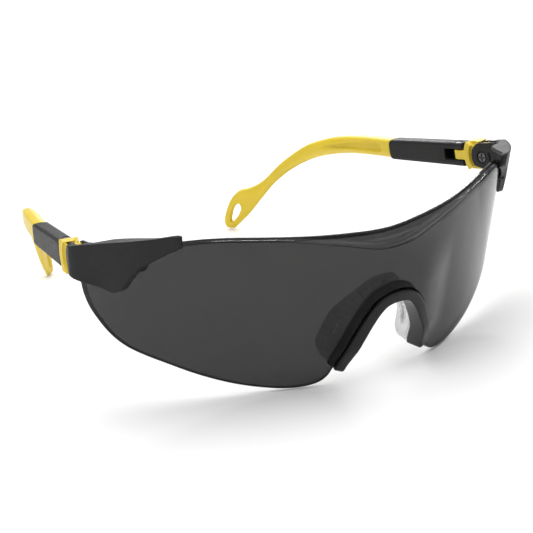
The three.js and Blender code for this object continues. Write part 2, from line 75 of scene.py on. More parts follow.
# Pairs of distance along the lens from its middle, and height.
CREASE = [(0, 2), (5, 2.3), (10, 3.5), (16, 5), (24, 6.5), (32, 7.4), (41, 7.5), (50, 7.1), (60, 5.5),
          (70, 2.8), (78, -0.2), (82, -2.3)]
NOSE_EDGE = [(0, -10.5), (3, -10.9), (5.6, -12.1), (7.9, -14.5), (10.1, -18), (12.5, -22.8), (14.5, -27.3),
             (16.3, -31.6), (17.6, -35), (19.2, -37.4), (22, -39.1)]
LOBE_EDGE = [(26.8, -40.1), (32.5, -40.2), (38.7, -39.6), (45.3, -38.6), (52, -37.1), (58.5, -35.3),
             (65.2, -33.2), (72.6, -31.1), (76.9, -29.7), (80.7, -27.8), (84.2, -25.2), (87.2, -22.2),
             (89.8, -19.2), (91.4, -15.8), (92, -12.2)]
REAR_TAB = (80.5, 82.5, -11.2)   # distances where the top edge drops to the tab, and the tab's height

# Brow ledge: its rear rim, depth, and a groove and a cove along its upper face.
LEDGE_RIM = [(0, 6.0), (6, 6.1), (12, 6.5), (20, 7.0), (30, 7.5), (40, 7.5)]
LEDGE_REACH = 72
LEDGE_FADE = 10
LEDGE_DEPTH = 2.8
LEDGE_MIDDLE_DEPTH = 4.9
LEDGE_MIDDLE_REACH = 32
LEDGE_THICKNESS = 1.6
GROOVE_DEPTH = 0.14
GROOVE_PLACE = 0.3               # share of the ledge's depth
GROOVE_HALF_WIDTH = 0.035        # share of the ledge's depth
COVE_DEPTH = 0.25
COVE_EXTRA_DEPTH = 0.3
COVE_START = (-32, -8)
COVE_END = (44, 60)

# Mesh of the lens: columns over half its width, and rows round its section.
HALF_COLUMNS = 260
EDGE_SAMPLES = 2000              # steps for measuring the lower edge
FACE_ROWS = 30
CORNER_ROWS = 4
UNDER_ROWS = 7
RIM_ROWS = 7

# Nose bridge: offsets from the nose edge, away from the opening, and depths behind the lens's front.
BRIDGE_FOOT = -35.6
BAND_OUTER = -0.35
BAND_INNER = -3.5
BAND_FRONT = -0.9
BRIDGE_BACK = 4.6
FLANGE_FRONT = 2.8
FLANGE_BACK = 3.7
FLANGE_REACH = 1.2

# Nose pad: offsets from the nose edge, depths, and the spread of its wings.
PAD_GAP = 0.9
PAD_OUTER = -0.75
PAD_INNER = -2.3
PAD_DEPTH = 2.5
PAD_WING_DEPTH = 6.4
PAD_FLARE = 2.0
PAD_RISE = 2.6
PAD_END = 9.0                    # length over which each end narrows
WING_START = (11, 22)            # depths below the brow between which the wings grow
WING_END = (30, 38)              # depths between which their flare fades
RIB_HEIGHT = 0.35
RIB_PITCH = 1.9
PAD_SLOTS = 4
PAD_SLOT_TOP = -22.5
PAD_SLOT_PITCH = 2.3

# Lug: round rear end, heights above and below the pivot, inboard ear and link's plate in the temple's x, and
# the arc where its outer skin ends, in the temple's y.
LUG_RADIUS = 4.6
LUG_TOP = 5.1
LUG_BOTTOM = 3.0
EAR_OUTER = -2.3
EAR_INNER = -3.4
BLOCK_REAR = -4.9
SKIN_CENTRE = -5.4
SKIN_RADIUS = 5.6
PLATE_INNER = 1.4
PLATE_OUTER = 1.75
ARM_DISTANCES = (58.4, 63, 67, 71, 75, 79)   # along the lens
ARM_OUTER = 2.1
ARM_INNER = 0.35
BLANK_HEIGHT = 14                # half the height of the blank that the lug is cut from

# Tilt screw and its seat and bore in the ear.
HEAD_RADIUS = 1.6
SHANK_RADIUS = 1.0
SEAT_RADIUS = 1.9
BORE_RADIUS = 1.25

# Tilt link's collar: radii and extent in the temple's x, with the radii of its grooves.
COLLAR_OUTER = 8.2
COLLAR_HALF_HEIGHT = 4.6
COLLAR_X = (-1.2, 2.5)
COLLAR_GROOVES = (6.1, 7.2)
COLLAR_GROOVE_DEPTH = 0.22

# Sleeve and ear piece.
SLEEVE_END = 42.6
SLEEVE_REAR_HEIGHT = 6.7
SEAM_BOW = 0.9
TIP_START = SLEEVE_END + 0.3
TIP_BLANK = 1.6                  # half the thickness of the blank that the ear piece is shaped from
TIP_THICKNESS = (4.4, 2.6)
TIP_EDGE = 0.9
BEND_START = 40
BEND_RADIUS = 195
FLUTE_DEPTH = 0.95
PANEL_DEPTH = 0.22
CROWN_RIDGE = 0.42               # share of the way from the lower to the upper edge
CROWN_FALL = 0.55
BEAD_HEIGHT = 0.16
SLIDER_FRONT = 20.4
NOTCHES = 4
NOTCH_FIRST = 34.5
NOTCH_PITCH = 4
NOTCH_X = -1.15
NOTCH_RADIUS = 0.6

# ---------------------------------------------------------------- frames

joints = {joint["name"]: joint for joint in frame["joints"]}


def glasses_matrix():
    """Glasses frame in mm to row frame in metres."""
    turn = Matrix.Rotation(math.radians(REST_PITCH), 4, "X")
    scale = Matrix.Scale(MM, 4)
    pivot = Vector(joints["tilt_right"]["pos_m"])
    shift = pivot - turn @ (Vector(PIVOT) * MM)
    return Matrix.Translation(shift) @ turn @ scale


def temple_matrix(side):
    """Right or left temple frame in mm to row frame in metres."""
    x = Vector(joints[f"tilt_{side}"]["axis"]).normalized()
    y = Vector(joints[f"slide_{side}"]["axis"]).normalized()
    matrix = Matrix((x, y, x.cross(y))).transposed().to_4x4()
    matrix.translation = Vector(joints[f"tilt_{side}"]["pos_m"])
    return matrix @ Matrix.Scale(MM, 4)


GLASSES = glasses_matrix()
TEMPLE = {side: temple_matrix(side) for side in ("right", "left")}
TEMPLES = (TEMPLE["right"], TEMPLE["left"])
FRONT = (GLASSES, GLASSES)
MIRROR = Matrix.Scale(-1, 4, (1, 0, 0))

# ---------------------------------------------------------------- curves


def smooth(value, start, end):
    """0 before start, 1 after end and a smooth step between."""
    t = np.clip((np.asarray(value, float) - start) / (end - start), 0, 1)
    return t * t * (3 - 2 * t)


def catmull(points, per=12):
    """Catmull-Rom curve through a list of 2-D points."""
    points = np.asarray(points, float)
    last = len(points) - 1
    out = []
    for i in range(last):
        before, start = points[max(i - 1, 0)], points[i]
        end, after = points[i + 1], points[min(i + 2, last)]
        a, b = (end - before) / 2, (after - start) / 2
        for t in np.arange(per) / per:
            out.append((2 * start - 2 * end + a + b) * t ** 3 + (3 * end - 3 * start - 2 * a - b) * t ** 2
                       + a * t + start)
    out.append(points[-1])
    return np.array(out)


def height_curve(pairs):
    """Smooth function of distance through (distance, height) pairs."""
    fine = catmull(pairs, 16)
    return lambda distance: np.interp(distance, fine[:, 0], fine[:, 1])


def arc(cy, cz, radius, start, end, steps=24):
    """Points of a circular arc, angles in radians."""
    angle = np.linspace(start, end, steps + 1)
    return np.column_stack([cy + radius * np.cos(angle), cz + radius * np.sin(angle)])


def rounded_polygon(corners, radius, steps=4):
    """Closed outline with every corner rounded by up to a radius."""
    corners = [np.asarray(c, float) for c in corners]
    out = []
    for i, corner in enumerate(corners):
        back, ahead = corners[i - 1] - corner, corners[(i + 1) % len(corners)] - corner
        reach = min(radius, 0.45 * np.linalg.norm(back), 0.45 * np.linalg.norm(ahead))
        start = corner + back / np.linalg.norm(back) * reach
        end = corner + ahead / np.linalg.norm(ahead) * reach
        for t in np.linspace(0, 1, steps + 1):
            out.append((1 - t) ** 2 * start + 2 * t * (1 - t) * corner + t ** 2 * end)
    return np.array(out)


def rectangle(y0, y1, z0, z1):
    """Corners of a rectangle."""
    return [(y0, z0), (y1, z0), (y1, z1), (y0, z1)]


# ---------------------------------------------------------------- lens surface


def lens_plan():
    """Arc length, points and tangents of the right half of the lens plan."""
    angle = math.radians(LENS_REAR_ANGLE)
    end = np.array([LENS_HALF_WIDTH, LENS_WRAP])
    front_handle = np.array([LENS_FRONT_HANDLE, 0.0])
    rear_handle = end - LENS_REAR_HANDLE * np.array([math.sin(angle), math.cos(angle)])
    t = np.linspace(0, 1, 3001)[:, None]
    points = 3 * (1 - t) ** 2 * t * front_handle + 3 * (1 - t) * t ** 2 * rear_handle + t ** 3 * end
    tangents = np.gradient(points, axis=0)
    tangents /= np.linalg.norm(tangents, axis=1)[:, None]
    length = np.r_[0, np.cumsum(np.linalg.norm(np.diff(points, axis=0), axis=1))]
    return length, points, tangents


PLAN_LENGTH, PLAN_POINTS, PLAN_TANGENTS = lens_plan()
crease_height = height_curve(CREASE)
bottom_height = height_curve(NOSE_EDGE + LOBE_EDGE)
rim_height = height_curve(LEDGE_RIM)


def plan_at(distance):
    """x, y and outward normal of the lens plan at distances either way from the middle."""
    side = np.where(distance < 0, -1.0, 1.0)
    span = np.abs(distance)
    x, y, tx, ty = (np.interp(span, PLAN_LENGTH, column)
                    for column in (*PLAN_POINTS.T, *PLAN_TANGENTS.T))
    return side * x, y, side * ty, -tx


def on_lens(distance, z, depth):
    """Points at distances along the lens, heights and depths behind its front surface."""
    distance, z, depth = np.broadcast_arrays(*(np.asarray(a, float) for a in (distance, z, depth)))
    x, y, nx, ny = plan_at(distance)
    beside = 1 - smooth(np.abs(distance), *BULGE_SPAN)
    bulge = LENS_BULGE * beside * smooth(-z, *BULGE_TOP) * (1 - smooth(-z, *BULGE_FOOT))
    out = LENS_LEAN * z + bulge - depth
    return np.stack([x + nx * out, y + ny * out, z], axis=-1)


def lens_top(span):
    """Height of the upper edge, which drops to a tab at the rear."""
    start, end, low = REAR_TAB
    crease = crease_height(np.minimum(span, CREASE[-1][0]))
    return crease + (low - crease) * smooth(span, start, end)


# ---------------------------------------------------------------- mesh helpers


def new_object(name, vertices, faces):
    """Object with a mesh of these vertices and faces, linked into the scene."""
    mesh = bpy.data.meshes.new(name)
    mesh.from_pydata([tuple(map(float, v)) for v in vertices], [], [tuple(map(int, f)) for f in faces])
    mesh.validate()
    obj = bpy.data.objects.new(name, mesh)
    bpy.context.scene.collection.objects.link(obj)
    return obj


def outward(obj):
    """Faces of a closed mesh made to point out, and shaded smooth."""
    mesh = bmesh.new()
    mesh.from_mesh(obj.data)
    bmesh.ops.recalc_face_normals(mesh, faces=mesh.faces)
    mesh.to_mesh(obj.data)
    mesh.free()
    obj.data.shade_smooth()
    return obj


def loft(name, rings):
    """Closed mesh through rings, an array of rings x points x 3, with its two ends filled."""
    rings = np.asarray(rings, float)
    count, size = rings.shape[:2]
    faces = []
    for i in range(count - 1):
        for j in range(size):
            k = (j + 1) % size
            faces.append((i * size + j, i * size + k, (i + 1) * size + k, (i + 1) * size + j))
    faces.append(tuple(range(size)))
    faces.append(tuple((count - 1) * size + j for j in range(size)))
    return outward(new_object(name, rings.reshape(-1, 3), faces))


def prism(name, outline, low, high, place=lambda a, b, c: (a, b, c)):
    """Outline extruded from low to high; place maps outline and extrusion values to x, y and z."""
    size = len(outline)
    vertices = [place(a, b, low) for a, b in outline] + [place(a, b, high) for a, b in outline]
    faces = [tuple(range(size)), tuple(range(size, 2 * size))]
    faces += [(j, (j + 1) % size, size + (j + 1) % size, size + j) for j in range(size)]
    return outward(new_object(name, vertices, faces))


def side_plate(name, outline, x0, x1):
    """Outline in y and z, extruded along x."""
    return prism(name, outline, x0, x1, lambda y, z, x: (x, y, z))


def baked(obj):
    """Replaces an object's mesh by its modified one."""
    depsgraph = bpy.context.evaluated_depsgraph_get()
    mesh = bpy.data.meshes.new_from_object(obj.evaluated_get(depsgraph))
    obj.modifiers.clear()
    obj.data = mesh
    return obj


def combined(obj, others, operation):
    """Boolean of an object with others, which are used up."""
    for other in others:
        modifier = obj.modifiers.new(operation, "BOOLEAN")
        modifier.operation = operation
        modifier.solver = "EXACT"
        modifier.object = other
    baked(obj)
    for other in others:
        bpy.data.objects.remove(other)
    return obj


def softened(obj, voxel, passes):
    """Even fine mesh with rounded edges, as a moulded part has."""
    remesh = obj.modifiers.new("remesh", "REMESH")
    remesh.mode = "VOXEL"
    remesh.voxel_size = voxel
    relax = obj.modifiers.new("relax", "SMOOTH")
    relax.iterations = passes
    relax.factor = 0.5
    baked(obj)
    obj.data.shade_smooth()
    return obj


def reshaped(obj, function):
    """Moves all vertices by a function of an n x 3 array."""
    count = len(obj.data.vertices)
    points = np.empty(count * 3, np.float32)
    obj.data.vertices.foreach_get("co", points)
    moved = np.asarray(function(points.reshape(count, 3).astype(float)), np.float32)
    obj.data.vertices.foreach_set("co", moved.ravel())
    obj.data.update()
    return obj


def copy_of(node, matrix):
    """Copy of a CAD node's mesh, taken back to mm by the inverse of a matrix."""
    obj = bpy.data.objects.new(node, frame["nodes"][node].data.copy())
    bpy.context.scene.collection.objects.link(obj)
    obj.data.materials.clear()
    obj.data.transform(matrix.inverted())
    mesh = bmesh.new()
    mesh.from_mesh(obj.data)
    bmesh.ops.remove_doubles(mesh, verts=mesh.verts, dist=0.001)
    bmesh.ops.recalc_face_normals(mesh, faces=mesh.faces)
    mesh.to_mesh(obj.data)
    mesh.free()
    return obj


def joined(obj, other):
    """Adds another object's mesh to the first one's."""
    mesh = bmesh.new()
    mesh.from_mesh(obj.data)
    mesh.from_mesh(other.data)
    mesh.to_mesh(obj.data)
    mesh.free()
    bpy.data.objects.remove(other)
    obj.data.shade_smooth()
    return obj


def fit(obj, name, node, body, matrix, material):
    """Places a piece in the row frame, gives it its material and body, and hides the CAD node it stands for.
    """
    obj.name = name
    obj.data.name = name
    obj.data.transform(matrix)
    obj.data.update()
    obj.data.materials.clear()
    obj.data.materials.append(material)
    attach(obj, body)
    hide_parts(node)
    return obj


def fit_pair(obj, name, node, bodies, matrices, material):
    """Fits a right-hand piece and its mirrored twin."""
    twin = bpy.data.objects.new(name, obj.data.copy())
    bpy.context.scene.collection.objects.link(twin)
    twin.data.transform(MIRROR)
    twin.data.flip_normals()
    fit(obj, f"{name}_right_skin", f"{node}_right", bodies[0], matrices[0], material)
    fit(twin, f"{name}_left_skin", f"{node}_left", bodies[1], matrices[1], material)


# ---------------------------------------------------------------- materials


def node_material(name, color, roughness, **sockets):
    """Principled material with constants on its own sockets."""
    material = bpy.data.materials.new(name)
    material.use_nodes = True
    shader = material.node_tree.nodes["Principled BSDF"]
    shader.inputs["Base Color"].default_value = (*color, 1)
    shader.inputs["Roughness"].default_value = roughness
    for key, value in sockets.items():
        shader.inputs[key.replace("_", " ")].default_value = value
    return material, material.node_tree, shader


def noise(tree, scale, detail=3.0):
    """Noise texture in object space; scale is in features per metre."""
    place = tree.nodes.new("ShaderNodeTexCoord")
    texture = tree.nodes.new("ShaderNodeTexNoise")
    texture.inputs["Scale"].default_value = scale
    texture.inputs["Detail"].default_value = detail
    tree.links.new(place.outputs["Object"], texture.inputs["Vector"])
    return texture


def ramp(tree, source, low, high):
    """Maps a 0 to 1 value onto a range of colours or numbers around its middle."""
    node = tree.nodes.new("ShaderNodeValToRGB")
    node.color_ramp.elements[0].position = 0.3
    node.color_ramp.elements[1].position = 0.7
    node.color_ramp.elements[0].color = (*low, 1) if isinstance(low, tuple) else (low, low, low, 1)
    node.color_ramp.elements[1].color = (*high, 1) if isinstance(high, tuple) else (high, high, high, 1)
    tree.links.new(source, node.inputs["Fac"])
    return node.outputs["Color"]


def grain(tree, shader, scale, depth, detail=4.0):
    """Fine moulded surface texture; depth is in metres."""
    bump = tree.nodes.new("ShaderNodeBump")
    bump.inputs["Strength"].default_value = 0.6
    bump.inputs["Distance"].default_value = depth
    tree.links.new(noise(tree, scale, detail).outputs["Fac"], bump.inputs["Height"])
    tree.links.new(bump.outputs["Normal"], shader.inputs["Normal"])


def smoked_lens(name, alpha):
    """Dark see-through polycarbonate."""
    material, tree, shader = node_material(name, (0.004, 0.004, 0.0045), 0.045, Alpha=alpha, IOR=1.42)
    shader.inputs["Specular IOR Level"].default_value = 0.18
    flow = noise(tree, 60, 2)
    tree.links.new(ramp(tree, flow.outputs["Fac"], 0.035, 0.06), shader.inputs["Roughness"])
    return material


def satin_black():
    """Black nylon of the lugs and sleeves, finely grained."""
    material, tree, shader = node_material("satin_black", (0.011, 0.011, 0.0115), 0.5, IOR=1.45)
    shader.inputs["Specular IOR Level"].default_value = 0.28
    shade = noise(tree, 180, 3)
    tree.links.new(ramp(tree, shade.outputs["Fac"], (0.009, 0.009, 0.0093), (0.013, 0.013, 0.0134)),
                   shader.inputs["Base Color"])
    tree.links.new(ramp(tree, noise(tree, 900, 2).outputs["Fac"], 0.44, 0.56), shader.inputs["Roughness"])
    grain(tree, shader, 5200, 0.00002)
    return material


def gloss_black():
    """Smoother black plastic of the nose bridge."""
    material, tree, shader = node_material("gloss_black", (0.009, 0.009, 0.0093), 0.3, IOR=1.45)
    shader.inputs["Specular IOR Level"].default_value = 0.28
    tree.links.new(ramp(tree, noise(tree, 300, 2).outputs["Fac"], 0.26, 0.34), shader.inputs["Roughness"])
    shade = noise(tree, 120, 2)
    tree.links.new(ramp(tree, shade.outputs["Fac"], (0.008, 0.008, 0.0083), (0.011, 0.011, 0.0113)),
                   shader.inputs["Base Color"])
    return material


def moulded_yellow():
    """Yellow plastic of the links and ear pieces."""
    material, tree, shader = node_material("moulded_yellow", (0.70, 0.52, 0.025), 0.36, IOR=1.46)
    shader.inputs["Subsurface Weight"].default_value = 0.12
    shader.inputs["Subsurface Radius"].default_value = (0.002, 0.0012, 0.0003)
    shader.inputs["Subsurface Scale"].default_value = 1.0
    shade = noise(tree, 120, 3)
    tree.links.new(ramp(tree, shade.outputs["Fac"], (0.67, 0.495, 0.022), (0.74, 0.55, 0.03)),
                   shader.inputs["Base Color"])
    tree.links.new(ramp(tree, noise(tree, 800, 2).outputs["Fac"], 0.32, 0.42), shader.inputs["Roughness"])
    grain(tree, shader, 2600, 0.00001)
    return material


def clear_rubber():
    """Translucent soft rubber of the nose pad."""
    material, tree, shader = node_material("clear_rubber", (0.55, 0.56, 0.55), 0.45, Alpha=0.42, IOR=1.41)
    shader.inputs["Subsurface Weight"].default_value = 0.4
    shader.inputs["Subsurface Radius"].default_value = (0.002, 0.002, 0.002)
    shader.inputs["Subsurface Scale"].default_value = 1.0
    shade = noise(tree, 200, 3)
    tree.links.new(ramp(tree, shade.outputs["Fac"], (0.50, 0.51, 0.50), (0.60, 0.61, 0.60)),
                   shader.inputs["Base Color"])
    grain(tree, shader, 2000, 0.00002)
    return material


def turned_metal(name, color):
    """Metal of the screws, pins, inserts and springs."""
    material, tree, shader = node_material(name, color, 0.3, Metallic=1.0)
    tree.links.new(ramp(tree, noise(tree, 1500, 3).outputs["Fac"], 0.24, 0.4), shader.inputs["Roughness"])
    grain(tree, shader, 6000, 0.00001)
    return material


LENS_MATERIAL = smoked_lens("smoked_lens", 0.80)
# Denser smoked plastic for the lens's thick edges; on the crease chamfer it paints a thin shade line.
LENS_EDGE_AND_CREASE_SHADE = smoked_lens("smoked_lens_edge_and_crease_shade", 0.96)
BLACK = satin_black()
BRIDGE_BLACK = gloss_black()
YELLOW = moulded_yellow()
RUBBER = clear_rubber()
STEEL = turned_metal("blackened_steel", (0.10, 0.10, 0.105))
BRASS = turned_metal("turned_brass", (0.62, 0.44, 0.18))

# ---------------------------------------------------------------- lens


def lens_columns():
    """Distances along the lens, evenly spaced along its lower edge."""
    span = np.linspace(0, LOBE_EDGE[-1][0], EDGE_SAMPLES)
    edge = bottom_height(span)
    length = np.r_[0, np.cumsum(np.hypot(np.diff(span), np.diff(edge)))]
    half = np.interp(np.linspace(0, length[-1], HALF_COLUMNS), length, span)
    return np.r_[-half[:0:-1], half]


def lens_ring(distance):
    """Depths and heights round the cross-section: front face, lower edge, rear face, ledge."""
    span = abs(distance)
    low, high = float(bottom_height(span)), float(lens_top(span))
    fade = 1 - float(smooth(span, LEDGE_REACH - LEDGE_FADE, LEDGE_REACH))
    middle = 1 - float(smooth(span, LEDGE_MIDDLE_REACH * 0.1, LEDGE_MIDDLE_REACH))
    cove = float(smooth(distance, *COVE_START)) * (1 - float(smooth(distance, *COVE_END)))
    depth = LEDGE_DEPTH + (LEDGE_MIDDLE_DEPTH - LEDGE_DEPTH) * middle
    depth = LENS_THICKNESS + (depth - LENS_THICKNESS) * fade
    web = min(LEDGE_THICKNESS, 0.6 * (high - low))
    corner = min(LENS_CORNER, 0.3 * (high - low))
    lift = max(0.0, float(rim_height(span)) - high) if span < LEDGE_RIM[-1][0] else 0.0
    quarter = np.linspace(0, math.pi / 2, CORNER_ROWS + 1)

    front = [(0.0, z) for z in np.linspace(high - 0.2, low + corner, FACE_ROWS)]
    lower = [(corner - corner * math.cos(a), low + corner - corner * math.sin(a)) for a in quarter[1:]]
    lower += [(LENS_THICKNESS - corner + corner * math.sin(a), low + corner - corner * math.cos(a))
              for a in quarter]
    rear = [(LENS_THICKNESS, z) for z in np.linspace(low + corner, high - web, FACE_ROWS)[1:]]

    def shelf(along):
        """Height of the ledge's upper face: fine groove, cove and raised rear rim."""
        rise = lift * float(smooth(along, 0.2, 1))
        groove = GROOVE_DEPTH * fade * max(0.0, 1 - abs(along - GROOVE_PLACE) / GROOVE_HALF_WIDTH)
        hollow = ((COVE_DEPTH * fade + COVE_EXTRA_DEPTH * cove)
                  * float(smooth(along, 0.34, 0.62) - smooth(along, 0.72, 0.86)))
        return high + rise - groove - hollow

    under = [(d, shelf(1) - web - 0.35 * (1 - d / depth) * (shelf(1) - high))
             for d in np.linspace(LENS_THICKNESS, depth, UNDER_ROWS + 1)[1:]]
    rim_middle = shelf(1) - web / 2
    rim = [(depth + 0.45 * web * fade * math.cos(a), rim_middle + web / 2 * math.sin(a))
           for a in np.linspace(-math.pi / 2, math.pi / 2, RIM_ROWS + 2)[1:-1]]
    upper = [(d * depth, shelf(d)) for d in np.r_[np.linspace(1, 0.36, 14), 0.335, 0.3, 0.265,
                                                  np.linspace(0.24, 0.03, 5)]]
    return front + lower + rear + under + rim + upper


def make_lens():
    """Lens and brow ledge, with a denser material on its lower corner and on the ledge's rim, and on the
    narrow chamfer at the crease as a painted shade line.
    """
    columns = lens_columns()
    sections = np.array([lens_ring(distance) for distance in columns])
    rings = on_lens(columns[:, None], sections[:, :, 1], sections[:, :, 0])
    shield = loft("lens", rings)
    size = rings.shape[1]
    shield.data.set_sharp_from_angle(angle=math.radians(32))
    place = np.arange(len(shield.data.polygons)) % size
    rim = 2 * FACE_ROWS + 2 * CORNER_ROWS + UNDER_ROWS
    on_corner = (place >= FACE_ROWS) & (place < FACE_ROWS + CORNER_ROWS)
    on_rim = (place >= rim) & (place < rim + RIM_ROWS)
    # The ring's last face is the chamfer at the crease: the denser material there is a painted shade line
    # along it.
    edge = on_corner | on_rim | (place == size - 1)
    shield = fit(shield, "lens_shield", "lens", "front", GLASSES, LENS_MATERIAL)
    shield.data.materials.append(LENS_EDGE_AND_CREASE_SHADE)
    shield.data.polygons.foreach_set("material_index", edge.astype(np.int32))


# ---------------------------------------------------------------- nose bridge and pad


def nose_arch(steps=160):
    """Nose edge of the lens, foot to foot, and the unit normals pointing away from the opening."""
    half = [pair for pair in NOSE_EDGE if pair[1] > BRIDGE_FOOT]
    curve = catmull([(-x, z) for x, z in half[:0:-1]] + half, 24)
    length = np.r_[0, np.cumsum(np.linalg.norm(np.diff(curve, axis=0), axis=1))]
    even = np.linspace(0, length[-1], steps + 1)
    points = np.column_stack([np.interp(even, length, curve[:, i]) for i in (0, 1)])
    tangents = np.gradient(points, axis=0)
    tangents /= np.linalg.norm(tangents, axis=1)[:, None]
    normals = np.column_stack([-tangents[:, 1], tangents[:, 0]])
    return points, normals, even


def arch_point(points, normals, side, height):
    """Point and normal of the nose edge on one side at a height."""
    choice = np.where(points[:, 0] * side > 0, np.abs(points[:, 1] - height), 1e9).argmin()
    return points[choice], normals[choice]


def rounded_end(reach, length):
    """Quarter-ellipse rise from 0 at an end to 1 at a length from it."""
    return math.sqrt(1 - (1 - min(reach / length, 1)) ** 2)


def make_bridge():
    """Rounded band inside the nose edge, with a flange behind the lens."""
    section = rounded_polygon([(BAND_OUTER, BAND_FRONT), (BAND_INNER, BAND_FRONT), (BAND_INNER, BRIDGE_BACK),
                               (BAND_OUTER, BRIDGE_BACK), (BAND_OUTER, FLANGE_BACK),
                               (FLANGE_REACH, FLANGE_BACK), (FLANGE_REACH, FLANGE_FRONT),
                               (BAND_OUTER, FLANGE_FRONT)], 0.55)
    centre = np.array([-1.8, 1.8])
    points, normals, even = nose_arch()
    to_end = np.minimum(even, even[-1] - even)
    rings = []
    for point, normal, reach in zip(points, normals, to_end):
        size = rounded_end(reach, 1.2) * 0.75 + 0.25
        ring = centre + (section - centre) * size
        flat = point + normal * ring[:, :1]
        rings.append(on_lens(flat[:, 0], flat[:, 1], ring[:, 1]))
    fit(loft("bridge", rings), "nose_bridge_band", "nose_bridge", "front", GLASSES, BRIDGE_BLACK)


def pad_surface(point, normal, offset, back):
    """Point of the nose pad at an offset from the nose edge and a way back from 0 to 1."""
    x, z = point + normal * offset
    wing = float(smooth(-z, *WING_START))
    start = on_lens(x, z, BRIDGE_BACK + PAD_GAP)
    depth = PAD_DEPTH + PAD_WING_DEPTH * wing
    flare = PAD_FLARE * wing * (1 - float(smooth(-z, *WING_END)))
    return (start[0] + math.copysign(flare, x) * back ** 1.3, start[1] + depth * back,
            z + PAD_RISE * (1 - wing) * back ** 1.3)


def make_pad():
    """Soft saddle with ribs across it and slots low on its wings."""
    points, normals, even = nose_arch(steps=520)
    to_end = np.minimum(even, even[-1] - even)
    backs = np.linspace(0, 1, 14)
    rings = []
    for point, normal, place, reach in zip(points, normals, even, to_end):
        rib = RIB_HEIGHT * (0.5 + 0.5 * math.cos(2 * math.pi * place / RIB_PITCH)) ** 2
        size = 0.35 + 0.65 * rounded_end(reach, PAD_END)
        outer = [pad_surface(point, normal, PAD_OUTER + rib * math.sin(math.pi * b), b * size) for b in backs]
        inner = [pad_surface(point, normal, PAD_INNER, b * size) for b in backs[::-1]]
        rings.append(outer + inner)
    pad = loft("pad", rings)
    outline = rounded_polygon(rectangle(-0.45, 0.45, -1.5, 1.5), 0.4)
    for side in (-1, 1):
        turn = Matrix.Rotation(side * math.radians(72), 4, "Y") @ Matrix.Rotation(math.radians(90), 4, "Z")
        for i in range(PAD_SLOTS):
            slot = prism("slot", outline, -4, 4)
            height = PAD_SLOT_TOP - PAD_SLOT_PITCH * i
            centre = pad_surface(*arch_point(points, normals, side, height), -1.5, 0.55)
            slot.data.transform(Matrix.Translation(centre) @ turn)
            pad = combined(pad, [slot], "DIFFERENCE")
    softened(pad, 0.16, 3)
    fit(pad, "nose_pad_saddle", "nose_pad", "front", GLASSES, RUBBER)


# ---------------------------------------------------------------- ear pieces and sleeves


def tip_edges():
    """Upper and lower edge of the ear piece in the temple frame's y and z."""
    half = SLEEVE_REAR_HEIGHT / 2
    upper = catmull([(TIP_START, half), (55, 3.9), (64, 3.7), (72, 2.8), (82.5, 0.2), (94, -5.7),
                     (103.5, -12.4), (109.5, -14.9), (114.2, -15.8), (118.4, -19.2), (121.9, -25.4),
                     (121.8, -29.2), (118.8, -30)])
    lower = catmull([(118.8, -30), (111.3, -24.4), (104.7, -18.4), (98.2, -13), (89.6, -8), (78.4, -4.1),
                     (65, -2.5), (52, -2.8), (TIP_START, -half)])
    return upper, lower


def distance_to(points, line):
    """Distance of each 2-D point to a polyline."""
    start, step = line[:-1], np.diff(line, axis=0)
    square = (step ** 2).sum(1)
    best = np.full(len(points), 1e9)
    for a, d, s in zip(start, step, square):
        t = np.clip(((points - a) @ d) / s, 0, 1)
        best = np.minimum(best, np.linalg.norm(points - a - t[:, None] * d, axis=1))
    return best


def lanyard_hole():
    """Teardrop hole in the end of the ear piece, wide at its top."""
    angle = np.linspace(0, 2 * math.pi, 49)[:-1]
    along = 3.9 * np.cos(angle)
    across = 1.3 * np.sin(angle) * (1 + 0.35 * np.cos(angle + math.pi))
    turn = math.radians(-56)
    y = 117.2 + along * math.cos(turn) - across * math.sin(turn)
    z = -24.2 + along * math.sin(turn) + across * math.cos(turn)
    return np.column_stack([y, z])


def bent(points):
    """Inboard bend of the temple behind the sleeve."""
    x, y, z = points.T
    angle = np.maximum(y - BEND_START, 0) / BEND_RADIUS
    radius = BEND_RADIUS + x
    behind = y > BEND_START
    return np.column_stack([np.where(behind, radius * np.cos(angle) - BEND_RADIUS, x),
                            np.where(behind, BEND_START + radius * np.sin(angle), y), z])


def seam_bow(y, z):
    """How far the seam between sleeve and ear piece curves forward towards its corners."""
    corner = np.clip(np.abs(z) / (SLEEVE_REAR_HEIGHT / 2), 0, 1) ** 4
    near = smooth(y, SLEEVE_END - 4, SLEEVE_END) * (1 - smooth(y, TIP_START, TIP_START + 4))
    return SEAM_BOW * corner * near


def tip_thickness(y):
    """Thickness of the ear piece, which thins from the sleeve to the loop."""
    start, end = TIP_THICKNESS
    return start + (end - start) * smooth(y, 50, 105)


def flute_depth(y, z):
    """Depth of the tapering flute behind the sleeve."""
    middle = np.interp(y, [50, 60, 74], [0.5, 0.7, 0.0])
    width = np.interp(y, [46, 48, 60, 77], [0.6, 1.8, 1.4, 0.1])
    ends = smooth(y, 46.4, 47.8) * (1 - smooth(y, 64, 77))
    return FLUTE_DEPTH * ends * (1 - smooth(np.abs(z - middle), width * 0.6, width))


def crown(y, to_top, to_bottom):
    """Fullness of the inboard face: 1 on its ridge, less towards both edges."""
    share = to_bottom / np.maximum(to_bottom + to_top, 0.01)
    slope = np.where(share > CROWN_RIDGE, (share - CROWN_RIDGE) / (1 - CROWN_RIDGE),
                     (CROWN_RIDGE - share) / CROWN_RIDGE) ** 2
    return 1 - CROWN_FALL * slope * smooth(y, 52, 76) * (1 - smooth(y, 106, 114))


